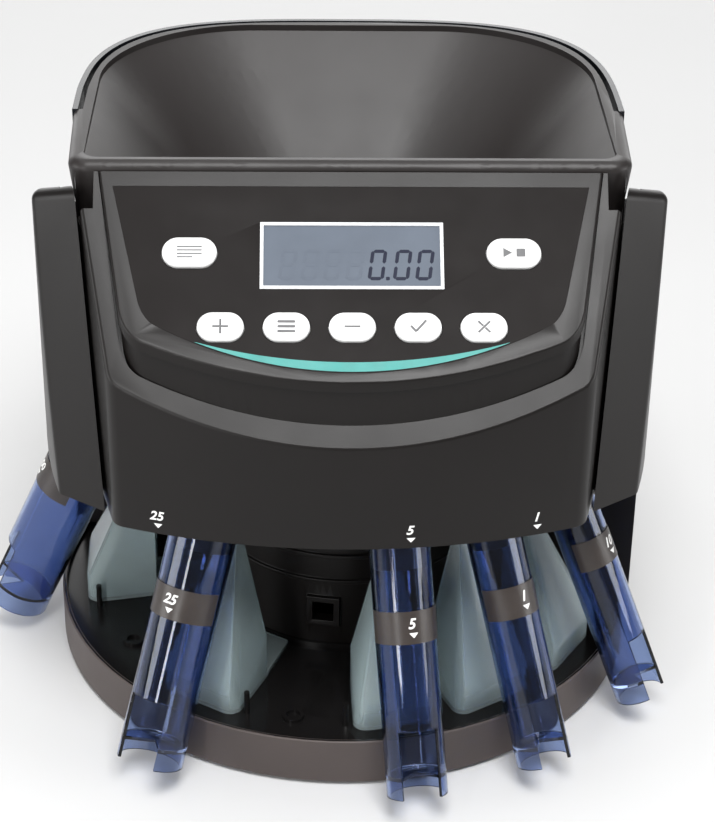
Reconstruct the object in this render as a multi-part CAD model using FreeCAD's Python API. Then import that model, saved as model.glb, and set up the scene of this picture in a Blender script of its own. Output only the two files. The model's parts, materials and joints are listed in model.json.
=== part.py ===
"""Coin sorting machine: a hopper over a turning disc, five coin tubes and five coin bins.

Frame: +Z up, -Y is the front with the control panel, +X is the user's right.
The origin is on the table, below the centre of the round base. Millimetres throughout.
"""
import FreeCAD
import Part
import math
import os

V = FreeCAD.Vector
X_AXIS = V(1, 0, 0)
Y_AXIS = V(0, 1, 0)
Z_AXIS = V(0, 0, 1)
ORIGIN = V(0, 0, 0)

# ---- general -------------------------------------------------------------------------------
WALL = 2.6                # thickness of the moulded shells
FAR = 400.0               # reach of the cutting blocks, larger than the machine
RUN = 0.35                # gap around a piece that slides
JOURNAL_GAP = 0.05        # radial clearance of a shaft in its bearing

# ---- base ----------------------------------------------------------------------------------
FOOT_H = 2.0
BASE_R = 141.0
RIM_T = 2.5
RIM_Z = 24.5              # top of the tray's rim
FLOOR_Z = 21.5            # top of the tray's floor
FLOOR_T = 2.5
PLATE_T = 1.2             # steel plate under the tray
PLATE_R = 137.0
FOOT_R = 9.0
FOOT_RING_R = 108.0
SCREW_RING_R = 122.0
SCREW_R = 1.5
SCREW_HEAD_R = 3.0
SCREW_HEAD_H = 1.4
COLUMN_R = 63.0

# ---- body ----------------------------------------------------------------------------------
BODY_R = 142.5
SHOULDER_Z = 203.0        # top of the drum behind the side wings
HEAD_Z = 122.0            # underside of the head
HEAD_FLOOR_T = 2.6
BAY_LEFT = -108.0         # azimuths between which the body is open below the head
BAY_RIGHT = 78.0
SHOULDER_FILLET = 5.0

# ---- side wings of the body, beside the head and the hopper -------------------------------
WING_ARC_R = 297.6        # plan radius of a wing's outer side, tangent to the drum
WING_TOP_Y = -48.0
WING_TOP_Z = 255.0
WING_FALL = 30.0          # slope of a wing's top, down towards the rear
WING_CORNER = (129.8, -86.0)
WING_TURN = 34.75         # plan angle of a wing's front face
WING_BACK = 11.75         # how far the front face leans back from upright
WING_FILLET = 5.0
WING_GAP = 1.6            # groove between a wing and the head
WING_REAR_Y = 60.0
WING_INNER_X = 98.0
HOPPER_BAY_X = 126.3      # half-width of the space for the hopper between the wings
TOP_OPEN_X = 106.0        # opening in the top of the drum, under the hopper
TOP_OPEN_FRONT_Y = -80.0
TOP_OPEN_REAR_Y = 98.0

# ---- front of the head ---------------------------------------------------------------------
FRONT_Y = -131.5
FRONT_ARC_R = 285.0
CORNER_X = 103.5          # half-width where the front face meets the sides
SIDE_X = 119.4            # half-width where the sides meet the hopper
SIDE_Y = -50.6
CORNER_FILLET = 9.0
LEDGE_Z = 172.0           # height of the sloping ledge at the front face
LEDGE_ANGLE = 48.5
NOTCH_W = 7.6             # recess at the top of each ledge arm
NOTCH_L = 11.0
NOTCH_FLOOR_Z = 242.0

# ---- control panel -------------------------------------------------------------------------
PANEL_ANGLE = 39.5
PANEL_TOP_Y = -56.0       # top edge of the dark panel film
PANEL_TOP_Z = 259.0
CONSOLE_FRONT_Y = -126.0
CONSOLE_CORNER_X = 97.0
CONSOLE_SIDE_X = 108.8
CONSOLE_FILLET = 16.0
BEZEL_T = 3.6             # thickness of the console's overhanging edge
BEZEL_OUT = 1.5
GROOVE = 1.8              # gap between the console and the ledge arms
FILM_T = 0.8
FILM_HALF_TOP = 102.6
FILM_CORNER_X = 88.7
FILM_CORNER_T = -61.6
FILM_BOTTOM_T = -86.3
FILM_ARC_R = 172.0

LCD_W = 78.2
LCD_H = 31.1
LCD_T = -32.6             # centre of the display, down the slope from the panel's top edge
LCD_RIM = 1.5
LCD_PROUD = 0.4
LCD_MODULE_H = 6.0

KEY_PROUD = 1.5
KEY_W = 19.8
KEY_H = 13.2
KEY_PITCH = 27.7
KEY_ROW_T = -65.8
WIDE_KEY_W = 23.4
WIDE_KEY_H = 13.9
WIDE_KEY_X = 69.0
WIDE_KEY_T = -31.6
KEY_FLANGE = 1.2
KEY_STEM_R = 2.2
BOARD_T = 1.6
KEY_BOARD_TOP = -8.6      # depth of the key board's face below the panel
MAIN_BOARD_TOP = -20.0

# ---- hopper --------------------------------------------------------------------------------
HOPPER_Z = 267.0          # top of the rim
HOPPER_FRONT_Y = -50.2
HOPPER_REAR_Y = 130.8
HOPPER_FRONT_X = 122.8
HOPPER_SIDE_X = 125.7
HOPPER_STEP_Y = 11.0      # the guard strip runs round the back from here
REAR_POWER = 3.3          # exponent of the superellipse round the back of the hopper
REAR_POINTS = 24
SKIRT_Z = 203.6
SKIRT_DRAFT = 7.0         # how much narrower the skirt is at its foot
GUARD_W = 2.6
GUARD_GAP = 2.4
GUARD_H = 11.0
THROAT_R = 34.0
THROAT_Y = 5.0
THROAT_Z = 181.0
BOWL_TOP_Z = 264.0
MOUTH_X = 118.6           # outline of the bowl's mouth
MOUTH_FRONT_Y = -45.5
MOUTH_REAR_Y = 124.0
MOUTH_FRONT_R = 9.0
MOUTH_REAR_R = 74.5
BOWL_T = 2.2
HINGE_Y = 131.0
HINGE_Z = 208.5
HINGE_X = 32.0
HINGE_R = 4.5
HINGE_PIN_R = 1.5
LUG_W = 7.4
HOPPER_FILLET = 4.0

# ---- sorting mechanism ---------------------------------------------------------------------
RAIL_Z = 160.0
RAIL_T = 3.0
RAIL_R = 117.0
FENCE_H = 9.0
DISC_R = 84.0
DISC_T = 3.0
FIN_R = 111.0
FINS = 10
SHAFT_R = 3.0
BEARING_R = 9.5
BEARING_T = 6.0
GEAR_Z = 138.0
GEAR_T = 6.0
GEAR_MODULE = 1.0
GEAR_TEETH = 60
GEAR_ROOT_SHARE = 0.62    # share of the pitch that a tooth fills at its root and at its tip
GEAR_TIP_SHARE = 0.26
PINION_TEETH = 15
PINION_SHAFT_R = 1.5
MOTOR_R = 18.5
MOTOR_L = 58.0

# ---- coin tubes, spouts and bins -----------------------------------------------------------
TUBE_TILT = 25.0
TUBE_END_R = 165.0        # radius and height of the centre of a tube's lower end
TUBE_END_Z = 12.5
TUBE_TOP_Z = 121.2        # highest point of a tube, just under the head
TUBE_WALL = 1.5
TUBE_ROOM = 3.2           # how much wider than its coin a tube is inside
WINDOW_L = 31.0           # cut-out through which a tube is emptied
WINDOW_DEG = 80.0
TUBE_FLOOR_UP = 8.5
SPOUT_IN = 11.0           # how far a spout reaches into its tube
# name: (azimuth from the front, coin diameter)
COINS = {
    "dollar": (-87.5, 26.5),
    "25": (-33.0, 24.26),
    "5": (10.6, 21.21),
    "1": (32.6, 19.05),
    "10": (57.6, 17.91),
}

BIN_FRONT_R = 128.0
BIN_WALL_R = 92.0         # where the side walls of a bin begin
BIN_INNER_R = 66.0
BIN_HALF = 21.6
BIN_TOP_Z = 96.0
BIN_KNEE = 13.0           # height of the upright part of a bin's front
BIN_LEAN = 14.0
BIN_WALL = 1.6

# ---- rear connections ----------------------------------------------------------------------
SOCKET_Z = 58.0
SOCKET_W = 72.0
SOCKET_H = 34.0
SOCKET_Y = 131.0
INLET_X = 18.0
SWITCH_X = -8.0
PORT_X = -26.0
ROCKER_TILT = 10.0
VENT_COLUMNS = 9
VENT_LOW_Z = 140.0
VENT_TOP_Z = 186.0


# ---- helpers -------------------------------------------------------------------------------
def block(x0, x1, y0, y1, z0, z1):
    return Part.makeBox(x1 - x0, y1 - y0, z1 - z0, V(x0, y0, z0))


def rod(radius, z0, z1, x=0.0, y=0.0):
    return Part.makeCylinder(radius, z1 - z0, V(x, y, z0))


def rod_x(radius, x0, x1, y, z):
    return Part.makeCylinder(radius, x1 - x0, V(x0, y, z), X_AXIS)


def ring(outer, inner, z0, z1):
    return rod(outer, z0, z1).cut(rod(inner, z0 - 1, z1 + 1))


def rounded_wire(corners, radii, z=0.0):
    """Closed outline of straight lines, with each corner rounded by an arc."""
    edges = []
    starts = []
    ends = []
    count = len(corners)
    for i, corner in enumerate(corners):
        point = V(corner[0], corner[1], z)
        before = V(*corners[i - 1], z).sub(point).normalize()
        after = V(*corners[(i + 1) % count], z).sub(point).normalize()
        half = before.getAngle(after) / 2
        reach = radii[i] / math.tan(half)
        centre = point.add(before.add(after).normalize().multiply(radii[i] / math.sin(half)))
        middle = centre.add(point.sub(centre).normalize().multiply(radii[i]))
        starts.append(point.add(V(before).multiply(reach)))
        ends.append(point.add(V(after).multiply(reach)))
        edges.append(Part.Arc(starts[i], middle, ends[i]).toShape())
    outline = []
    for i in range(count):
        outline.append(edges[i])
        outline.append(Part.makeLine(ends[i], starts[(i + 1) % count]))
    return Part.Wire(outline)


def prism(wire, height):
    return Part.Face(wire).extrude(V(0, 0, height))


def arc_front_prism(corner_x, corner_y, side_x, side_y, front_y, rear_y, radius, z0, z1):
    """Upright block with a bowed front face and sides that spread towards the rear."""
    left = V(-corner_x, corner_y, z0)
    right = V(corner_x, corner_y, z0)
    points = [right, V(side_x, side_y, z0), V(side_x, rear_y, z0),
              V(-side_x, rear_y, z0), V(-side_x, side_y, z0), left]
    if rear_y == side_y:
        points = [right, V(side_x, side_y, z0), V(-side_x, side_y, z0), left]
    edges = [Part.Arc(left, V(0, front_y, z0), right).toShape()]
    for start, end in zip(points, points[1:]):
        edges.append(Part.makeLine(start, end))
    body = prism(Part.Wire(edges), z1 - z0)
    upright = [e for e in body.Edges if is_upright(e) and e.CenterOfMass.y < corner_y + 1]
    return body.makeFillet(radius, upright)


def is_upright(edge):
    first, last = edge.Vertexes[0].Point, edge.Vertexes[-1].Point
    return abs(first.x - last.x) < 1e-6 and abs(first.y - last.y) < 1e-6


def below_slope(y, z, angle):
    """Everything under a plane through (y, z) that rises towards the rear."""
    half_space = Part.makeBox(2 * FAR, 2 * FAR, FAR, V(-FAR, -FAR, -FAR))
    half_space.rotate(ORIGIN, X_AXIS, angle)
    half_space.translate(V(0, y, z))
    return half_space


def drop(thickness, angle):
    """Height lost when a sloping plane moves inwards by a thickness."""
    return thickness / math.cos(math.radians(angle))


def on_panel(shape, x=0.0, t=0.0):
    """Lay a shape drawn flat onto the control panel, at x and at t up the slope."""
    placed = shape.copy()
    placed.translate(V(x, t, 0))
    placed.rotate(ORIGIN, X_AXIS, PANEL_ANGLE)
    placed.translate(V(0, PANEL_TOP_Y, PANEL_TOP_Z))
    return placed


def at_azimuth(shape, azimuth):
    turned = shape.copy()
    turned.rotate(ORIGIN, Z_AXIS, azimuth)
    return turned


def sector(radius, start, end, z0, z1):
    """Wedge of a cylinder between two azimuths, which count from the front."""
    wedge = Part.makeCylinder(radius, z1 - z0, V(0, 0, z0), Z_AXIS, end - start)
    wedge.rotate(ORIGIN, Z_AXIS, start - 90.0)
    return wedge


def pill(width, height, z0, z1):
    """Flat-sided key shape with half-round ends."""
    radius = height / 2
    reach = width / 2 - radius
    body = block(-reach, reach, -radius, radius, z0, z1)
    for side in (-reach, reach):
        body = body.fuse(rod(radius, z0, z1, side))
    return body.removeSplitter()


def group(solids):
    return Part.makeCompound(solids)


def save(name, shape):
    if shape.ShapeType == "Compound" and len(shape.Solids) == 1:
        shape = shape.Solids[0]
    shape.exportStep("parts/" + name + ".step")


# ---- base ----------------------------------------------------------------------------------
SCREW_AZIMUTHS = [20 + 60 * i for i in range(6)]
FLOOR_BOSSES = [(-12.0, 121.0), (-60.0, 118.0)]
# bins that have a locating pin, and the side it stands on
BIN_PINS = [("dollar", -1), ("dollar", 1), ("25", -1), ("25", 1), ("5", -1), ("10", 1)]


def base_tray():
    tray = ring(BASE_R, BASE_R - RIM_T, FOOT_H, RIM_Z)
    floor = rod(BASE_R - 1, FLOOR_Z - FLOOR_T, FLOOR_Z)
    tray = tray.fuse(floor)
    top_edges = [e for e in tray.Edges if abs(e.CenterOfMass.z - RIM_Z) < 1e-6]
    tray = tray.makeFillet(0.8, top_edges)
    rib_low = FOOT_H + PLATE_T
    for azimuth in SCREW_AZIMUTHS:
        boss = rod(4.5, rib_low, FLOOR_Z - FLOOR_T, 0, -SCREW_RING_R)
        rib = block(-1, 1, -SCREW_RING_R, -20, rib_low + 2, FLOOR_Z - FLOOR_T)
        hole = rod(SCREW_R, 0, FLOOR_Z - FLOOR_T - 1, 0, -SCREW_RING_R)
        tray = tray.fuse(at_azimuth(boss.fuse(rib), azimuth)).cut(at_azimuth(hole, azimuth))
    for azimuth, radius in FLOOR_BOSSES:
        boss = rod(5.0, FLOOR_Z - 0.5, FLOOR_Z + 1.6, 0, -radius)
        well = rod(3.2, FLOOR_Z, FLOOR_Z + 2, 0, -radius)
        tray = tray.fuse(at_azimuth(boss, azimuth)).cut(at_azimuth(well, azimuth))
    pin_x = BIN_HALF + 2.4
    for name, side in BIN_PINS:
        pin = rod(1.3, FLOOR_Z - 0.5, FLOOR_Z + 12, side * pin_x, -BIN_FRONT_R + 6)
        tray = tray.fuse(at_azimuth(pin, COINS[name][0]))
    seat = ring(COLUMN_R + 2.2, COLUMN_R + 0.4, FLOOR_Z - 0.5, FLOOR_Z + 2)
    return tray.fuse(seat)


def base_plate():
    plate = rod(PLATE_R, FOOT_H, FOOT_H + PLATE_T)
    for azimuth in SCREW_AZIMUTHS:
        plate = plate.cut(at_azimuth(rod(SCREW_R, 0, 10, 0, -SCREW_RING_R), azimuth))
    return plate


def rubber_feet():
    """Four feet near the rim and one that supports the middle of the plate."""
    feet = [Part.makeCone(FOOT_R - 1, FOOT_R, FOOT_H)]
    for azimuth in (45, 135, 225, 315):
        foot = Part.makeCone(FOOT_R - 1, FOOT_R, FOOT_H, V(0, -FOOT_RING_R, 0))
        feet.append(at_azimuth(foot, azimuth))
    return group(feet)


def pan_screw(length, z_seat, x, y):
    """Screw pointing up, with its head's flat side at z_seat."""
    head = rod(SCREW_HEAD_R, z_seat - SCREW_HEAD_H, z_seat, x, y)
    low = [e for e in head.Edges if abs(e.CenterOfMass.z - z_seat + SCREW_HEAD_H) < 1e-6]
    head = head.makeFillet(0.6, low)
    screw = head.fuse(rod(SCREW_R, z_seat, z_seat + length, x, y))
    slot_top = z_seat - SCREW_HEAD_H + 0.7
    slots = [block(x - 1.7, x + 1.7, y - 0.35, y + 0.35, 0, slot_top),
             block(x - 0.35, x + 0.35, y - 1.7, y + 1.7, 0, slot_top)]
    return screw.cut(slots[0]).cut(slots[1])


def base_screws():
    screw = pan_screw(12, FOOT_H, 0, -SCREW_RING_R)
    return group([at_azimuth(screw, azimuth) for azimuth in SCREW_AZIMUTHS])


def core_column():
    column = ring(COLUMN_R, COLUMN_R - WALL, FLOOR_Z, HEAD_Z)
    for z in (58.0, 72.0):
        column = column.fuse(ring(COLUMN_R + 1.6, COLUMN_R - 1, z, z + 2))
    frame = block(-8, 8, -COLUMN_R - 2, -COLUMN_R + 4, 34, 50)
    window = block(-5, 5, -COLUMN_R - 5, -COLUMN_R + 8, 37, 47)
    hatch = block(-9, 9, -COLUMN_R - 1.5, -COLUMN_R + 4, 84, 104)
    column = column.fuse(at_azimuth(frame, -10)).cut(at_azimuth(window, -10))
    return column.fuse(at_azimuth(hatch, -10)).removeSplitter()


# ---- front of the head ---------------------------------------------------------------------
CORNER_Y = FRONT_Y + FRONT_ARC_R - math.sqrt(FRONT_ARC_R ** 2 - CORNER_X ** 2)


def head_block(inset, z0, z1, rear_y):
    """Block with the outline of the head's front, inset by a wall thickness."""
    return arc_front_prism(CORNER_X - inset, CORNER_Y + inset, SIDE_X - inset, SIDE_Y,
                           FRONT_Y + inset, rear_y, CORNER_FILLET - inset, z0, z1)


def console_block(inset, z0, z1, side_gap=0.0):
    corner_x = CONSOLE_CORNER_X - inset
    depth = FRONT_ARC_R - math.sqrt(FRONT_ARC_R ** 2 - corner_x ** 2)
    corner_y = CONSOLE_FRONT_Y + inset + depth
    return arc_front_prism(corner_x + side_gap, corner_y, CONSOLE_SIDE_X - inset + side_gap,
                           SIDE_Y, CONSOLE_FRONT_Y + inset, SIDE_Y,
                           CONSOLE_FILLET - inset, z0, z1)


def front_housing():
    ledge_slope = below_slope(FRONT_Y, LEDGE_Z, LEDGE_ANGLE)
    inner_slope = below_slope(FRONT_Y, LEDGE_Z - drop(WALL, LEDGE_ANGLE), LEDGE_ANGLE)
    outer = head_block(0, HEAD_Z, 280, SIDE_Y).common(ledge_slope)
    rim = [e for e in outer.Edges if is_front_rim(e)]
    outer = outer.makeFillet(2.2, rim)
    inner = head_block(WALL, HEAD_Z - 1, 280, SIDE_Y + 20).common(inner_slope)
    shell = outer.cut(inner)
    shell = shell.cut(console_block(BEZEL_OUT, HEAD_Z + 30, 300, GROOVE))
    for side in (-1, 1):
        x = side * (SIDE_X - 4.6)
        notch = block(x - NOTCH_W / 2, x + NOTCH_W / 2, SIDE_Y - NOTCH_L, SIDE_Y + 1,
                      NOTCH_FLOOR_Z, 300)
        shell = shell.cut(notch)
        floor = block(x - NOTCH_W / 2 - 1, x + NOTCH_W / 2 + 1, SIDE_Y - NOTCH_L - 1, SIDE_Y,
                      NOTCH_FLOOR_Z - 2, NOTCH_FLOOR_Z)
        shell = shell.fuse(floor.common(head_block(0.5, 200, 300, SIDE_Y)))
    return shell


def is_front_rim(edge):
    """Outer edge where the ledge meets the front face and the sides."""
    on_ledge = abs(ledge_height(edge.CenterOfMass)) < 3
    ends_on_ledge = all(abs(ledge_height(v.Point)) < 1e-3 for v in edge.Vertexes)
    return on_ledge and ends_on_ledge and edge.CenterOfMass.y < SIDE_Y - 2


def ledge_height(point):
    slope = math.tan(math.radians(LEDGE_ANGLE))
    return point.z - LEDGE_Z - (point.y - FRONT_Y) * slope


def panel_console():
    top = below_slope(PANEL_TOP_Y, PANEL_TOP_Z, PANEL_ANGLE)
    under_bezel = below_slope(PANEL_TOP_Y, PANEL_TOP_Z - drop(BEZEL_T, PANEL_ANGLE), PANEL_ANGLE)
    under_top = below_slope(PANEL_TOP_Y, PANEL_TOP_Z - drop(WALL, PANEL_ANGLE), PANEL_ANGLE)
    ledge = below_slope(FRONT_Y, LEDGE_Z - drop(WALL, LEDGE_ANGLE), LEDGE_ANGLE)
    bezel = console_block(0, 150, 300).common(top).cut(under_bezel)
    bezel_rim = [e for e in bezel.Edges if is_bezel_rim(e)]
    bezel = bezel.makeFillet(1.2, bezel_rim)
    skirt = console_block(BEZEL_OUT, 150, 300).common(under_bezel).cut(ledge)
    hollow = console_block(BEZEL_OUT + WALL, 140, 300).common(under_top)
    shell = bezel.fuse(skirt).cut(hollow)
    foot = console_block(BEZEL_OUT - 2.5, 150, 300, 0.5).cut(console_block(4, 140, 310))
    foot_low = below_slope(FRONT_Y, LEDGE_Z - drop(WALL + 1.5, LEDGE_ANGLE), LEDGE_ANGLE)
    foot = foot.common(ledge).cut(foot_low).common(head_block(WALL + 0.2, 100, 300, SIDE_Y))
    shell = shell.fuse(foot)
    shell = shell.cut(on_panel(film_blank(0).extrude(V(0, 0, 5))).translated(film_sink()))
    lcd_hole = block(-LCD_W / 2, LCD_W / 2, -LCD_H / 2, LCD_H / 2, -9, 9)
    shell = shell.cut(on_panel(lcd_hole, 0, LCD_T))
    for width, height, x, t in KEYS.values():
        shell = shell.cut(on_panel(pill(width + 2 * RUN, height + 2 * RUN, -9, 9), x, t))
    return shell


def is_bezel_rim(edge):
    slope = math.tan(math.radians(PANEL_ANGLE))
    flat = [abs(v.Point.z - PANEL_TOP_Z - (v.Point.y - PANEL_TOP_Y) * slope) < 1e-3
            for v in edge.Vertexes]
    return all(flat) and edge.CenterOfMass.y < SIDE_Y - 1


def film_sink():
    angle = math.radians(PANEL_ANGLE)
    return V(0, math.sin(angle) * FILM_T, -math.cos(angle) * FILM_T)


def film_blank(z):
    """Outline of the dark panel film, flat: straight top, sloping sides, bowed lower edge."""
    left = V(-FILM_CORNER_X, FILM_CORNER_T, z)
    right = V(FILM_CORNER_X, FILM_CORNER_T, z)
    edges = [Part.Arc(left, V(0, FILM_BOTTOM_T, z), right).toShape()]
    edges.append(Part.makeLine(right, V(FILM_HALF_TOP, 0, z)))
    edges.append(Part.makeLine(V(FILM_HALF_TOP, 0, z), V(-FILM_HALF_TOP, 0, z)))
    edges.append(Part.makeLine(V(-FILM_HALF_TOP, 0, z), left))
    return Part.Face(Part.Wire(edges))


# name: (width, height, x, t)
KEYS = {
    "report": (WIDE_KEY_W, WIDE_KEY_H, -WIDE_KEY_X, WIDE_KEY_T),
    "start": (WIDE_KEY_W, WIDE_KEY_H, WIDE_KEY_X, WIDE_KEY_T),
    "plus": (KEY_W, KEY_H, -2 * KEY_PITCH, KEY_ROW_T),
    "batch": (KEY_W, KEY_H, -KEY_PITCH, KEY_ROW_T),
    "minus": (KEY_W, KEY_H, 0.0, KEY_ROW_T),
    "set": (KEY_W, KEY_H, KEY_PITCH, KEY_ROW_T),
    "clear": (KEY_W, KEY_H, 2 * KEY_PITCH, KEY_ROW_T),
}


def panel_overlay():
    film = film_blank(-FILM_T).extrude(V(0, 0, FILM_T))
    film = film.cut(block(-LCD_W / 2, LCD_W / 2, LCD_T - LCD_H / 2, LCD_T + LCD_H / 2, -5, 5))
    for width, height, x, t in KEYS.values():
        hole = pill(width + 2 * RUN, height + 2 * RUN, -5, 5)
        hole.translate(V(x, t, 0))
        film = film.cut(hole)
    return on_panel(film)


def lcd_frame():
    frame = block(-LCD_W / 2, LCD_W / 2, -LCD_H / 2, LCD_H / 2, -WALL, LCD_PROUD)
    inner_w = LCD_W / 2 - LCD_RIM
    inner_h = LCD_H / 2 - LCD_RIM
    return on_panel(frame.cut(block(-inner_w, inner_w, -inner_h, inner_h, -9, 9)), 0, LCD_T)


def lcd_window():
    inner_w = LCD_W / 2 - LCD_RIM
    inner_h = LCD_H / 2 - LCD_RIM
    return on_panel(block(-inner_w, inner_w, -inner_h, inner_h, -WALL, -0.3), 0, LCD_T)


def lcd_module():
    body = block(-LCD_W / 2 - 3, LCD_W / 2 + 3, -LCD_H / 2 - 3, LCD_H / 2 + 3,
                 -WALL - LCD_MODULE_H, -WALL)
    return on_panel(body, 0, LCD_T)


def key_button(width, height):
    cap = pill(width, height, -WALL - 0.2, KEY_PROUD)
    rim = [e for e in cap.Edges if abs(e.BoundBox.ZMin - KEY_PROUD) < 1e-6]
    cap = cap.makeFillet(1.0, rim)
    flange = pill(width + 2 * KEY_FLANGE, height + 2 * KEY_FLANGE, -WALL - 1.4, -WALL - 0.2)
    stem = rod(KEY_STEM_R, KEY_BOARD_TOP + 2.6, -WALL - 1.4)
    return cap.fuse(flange).fuse(stem)


def key_board():
    board = block(-80, 80, -78, -22, KEY_BOARD_TOP - BOARD_T, KEY_BOARD_TOP)
    board = board.cut(block(-44, 44, -54, 0, -20, 0))
    for width, height, x, t in KEYS.values():
        switch = block(-3, 3, -3, 3, KEY_BOARD_TOP, KEY_BOARD_TOP + 0.9)
        switch = switch.fuse(rod(1.6, KEY_BOARD_TOP + 0.5, KEY_BOARD_TOP + 1.4))
        switch.translate(V(x, t, 0))
        board = board.fuse(switch)
    return on_panel(board)


def main_board():
    board = block(-76, 76, -76, -12, MAIN_BOARD_TOP - BOARD_T, MAIN_BOARD_TOP)
    for x in (-72, 72):
        for t in (-30, -70):
            board = board.fuse(rod(2.5, MAIN_BOARD_TOP, KEY_BOARD_TOP - BOARD_T, x, t))
    chips = [(-30, -50, 14, 14, 2), (10, -40, 20, 10, 2.5), (40, -60, 9, 9, 4), (-55, -30, 16, 6, 6)]
    for x, t, width, length, height in chips:
        chip = block(x, x + width, t, t + length, MAIN_BOARD_TOP - 0.1, MAIN_BOARD_TOP + height)
        board = board.fuse(chip)
    return on_panel(board)


# ---- hopper --------------------------------------------------------------------------------
def hopper_outline(inset, z):
    """Plan of the hopper: straight front and sides, and half a superellipse round the back."""
    side_x = HOPPER_SIDE_X - inset
    front_x = HOPPER_FRONT_X - inset
    front_y = HOPPER_FRONT_Y + inset
    depth = HOPPER_REAR_Y - HOPPER_STEP_Y - inset
    points = []
    for i in range(REAR_POINTS + 1):
        angle = math.pi * i / REAR_POINTS
        across = math.copysign(abs(math.cos(angle)) ** (2 / REAR_POWER), math.cos(angle))
        along = max(math.sin(angle), 0.0) ** (2 / REAR_POWER)
        points.append(V(side_x * across, HOPPER_STEP_Y + depth * along, z))
    rear = Part.BSplineCurve()
    rear.interpolate(points, InitialTangent=Y_AXIS, FinalTangent=V(0, -1, 0))
    front = rounded_corners([(-side_x, HOPPER_STEP_Y), (-front_x, front_y),
                             (front_x, front_y), (side_x, HOPPER_STEP_Y)], 9.0, z)
    return Part.Wire([rear.toShape()] + front)


def rounded_corners(points, radius, z):
    """Open run of straight lines whose inner corners are rounded."""
    line_start = V(*points[0], z)
    edges = []
    for before, corner, after in zip(points, points[1:], points[2:]):
        point = V(*corner, z)
        back = V(*before, z).sub(point).normalize()
        ahead = V(*after, z).sub(point).normalize()
        half = back.getAngle(ahead) / 2
        centre = point.add(back.add(ahead).normalize().multiply(radius / math.sin(half)))
        middle = centre.add(point.sub(centre).normalize().multiply(radius))
        arc_start = point.add(V(back).multiply(radius / math.tan(half)))
        arc_end = point.add(V(ahead).multiply(radius / math.tan(half)))
        edges.append(Part.makeLine(line_start, arc_start))
        edges.append(Part.Arc(arc_start, middle, arc_end).toShape())
        line_start = arc_end
    edges.append(Part.makeLine(line_start, V(*points[-1], z)))
    return edges


def bowl_mouth(inset, z):
    half = MOUTH_X - inset
    front = MOUTH_FRONT_Y + inset
    rear = MOUTH_REAR_Y - inset
    corners = [(-half, front), (half, front), (half, rear), (-half, rear)]
    front_r = MOUTH_FRONT_R - inset
    rear_r = MOUTH_REAR_R - inset
    return rounded_wire(corners, [front_r, front_r, rear_r, rear_r], z)


def bowl_throat(inset, z):
    reach = THROAT_R - inset
    corners = [(-reach, THROAT_Y - reach), (reach, THROAT_Y - reach),
               (reach, THROAT_Y + reach), (-reach, THROAT_Y + reach)]
    return rounded_wire(corners, [reach * 0.9] * 4, z)


def bowl_solid(inset, z_top, z_low):
    return Part.makeLoft([bowl_throat(inset, z_low), bowl_mouth(inset, z_top)], True, True)


def hopper_bowl():
    skirt = [hopper_outline(SKIRT_DRAFT, SKIRT_Z), hopper_outline(0, HOPPER_Z)]
    outer = Part.makeLoft(skirt, True, True)
    front_rim = [e for e in outer.Edges if is_front_rim_of_hopper(e)]
    outer = outer.makeFillet(HOPPER_FILLET, front_rim)
    guard_step = prism(hopper_outline(-5, HOPPER_Z - GUARD_H), FAR)
    guard_step = guard_step.cut(prism(hopper_outline(GUARD_W + GUARD_GAP, SKIRT_Z), FAR))
    guard_step = guard_step.common(block(-FAR, FAR, HOPPER_STEP_Y, FAR, 0, FAR))
    outer = outer.cut(guard_step)
    cavity_top = HOPPER_Z - GUARD_H - WALL
    cavity_low = [hopper_outline(SKIRT_DRAFT + WALL, SKIRT_Z), hopper_outline(WALL + 1, cavity_top)]
    cavity = Part.makeLoft(cavity_low, True, True)
    rim_inset = WALL + GUARD_W + GUARD_GAP
    cavity = cavity.fuse(prism(hopper_outline(rim_inset, SKIRT_Z), BOWL_TOP_Z - SKIRT_Z))
    shell = outer.cut(cavity)
    bowl = bowl_solid(0, BOWL_TOP_Z, THROAT_Z)
    coin_space = bowl_solid(BOWL_T, BOWL_TOP_Z, THROAT_Z)
    mouth = prism(bowl_mouth(BOWL_T, BOWL_TOP_Z - 0.01), FAR)
    hopper = shell.fuse(bowl).cut(coin_space).cut(mouth)
    for side in (-1, 1):
        x0 = side * HINGE_X - LUG_W / 2
        arm = block(x0, x0 + LUG_W, HINGE_Y - 12, HINGE_Y, HINGE_Z - 2.5, HINGE_Z + 2.5)
        lug = arm.fuse(rod_x(HINGE_R, x0, x0 + LUG_W, HINGE_Y, HINGE_Z))
        bore_r = HINGE_PIN_R + JOURNAL_GAP
        hopper = hopper.fuse(lug).cut(rod_x(bore_r, x0 - 1, x0 + LUG_W + 1, HINGE_Y, HINGE_Z))
    return hopper


def is_front_rim_of_hopper(edge):
    on_top = abs(edge.CenterOfMass.z - HOPPER_Z) < 1e-4
    return on_top and edge.CenterOfMass.y < HOPPER_STEP_Y


def rim_guard():
    z0 = HOPPER_Z - GUARD_H
    strip = prism(hopper_outline(0, z0), GUARD_H)
    strip = strip.cut(prism(hopper_outline(GUARD_W, z0 + 2), GUARD_H))
    strip = strip.cut(prism(hopper_outline(GUARD_W + GUARD_GAP, z0 - 1), GUARD_H + 2))
    return strip.common(block(-FAR, FAR, HOPPER_STEP_Y, FAR, 0, FAR))


def hinge_pins():
    pins = []
    for side in (-1, 1):
        x = side * HINGE_X
        pins.append(rod_x(HINGE_PIN_R, x - 10, x + 10, HINGE_Y, HINGE_Z))
    return group(pins)


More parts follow.
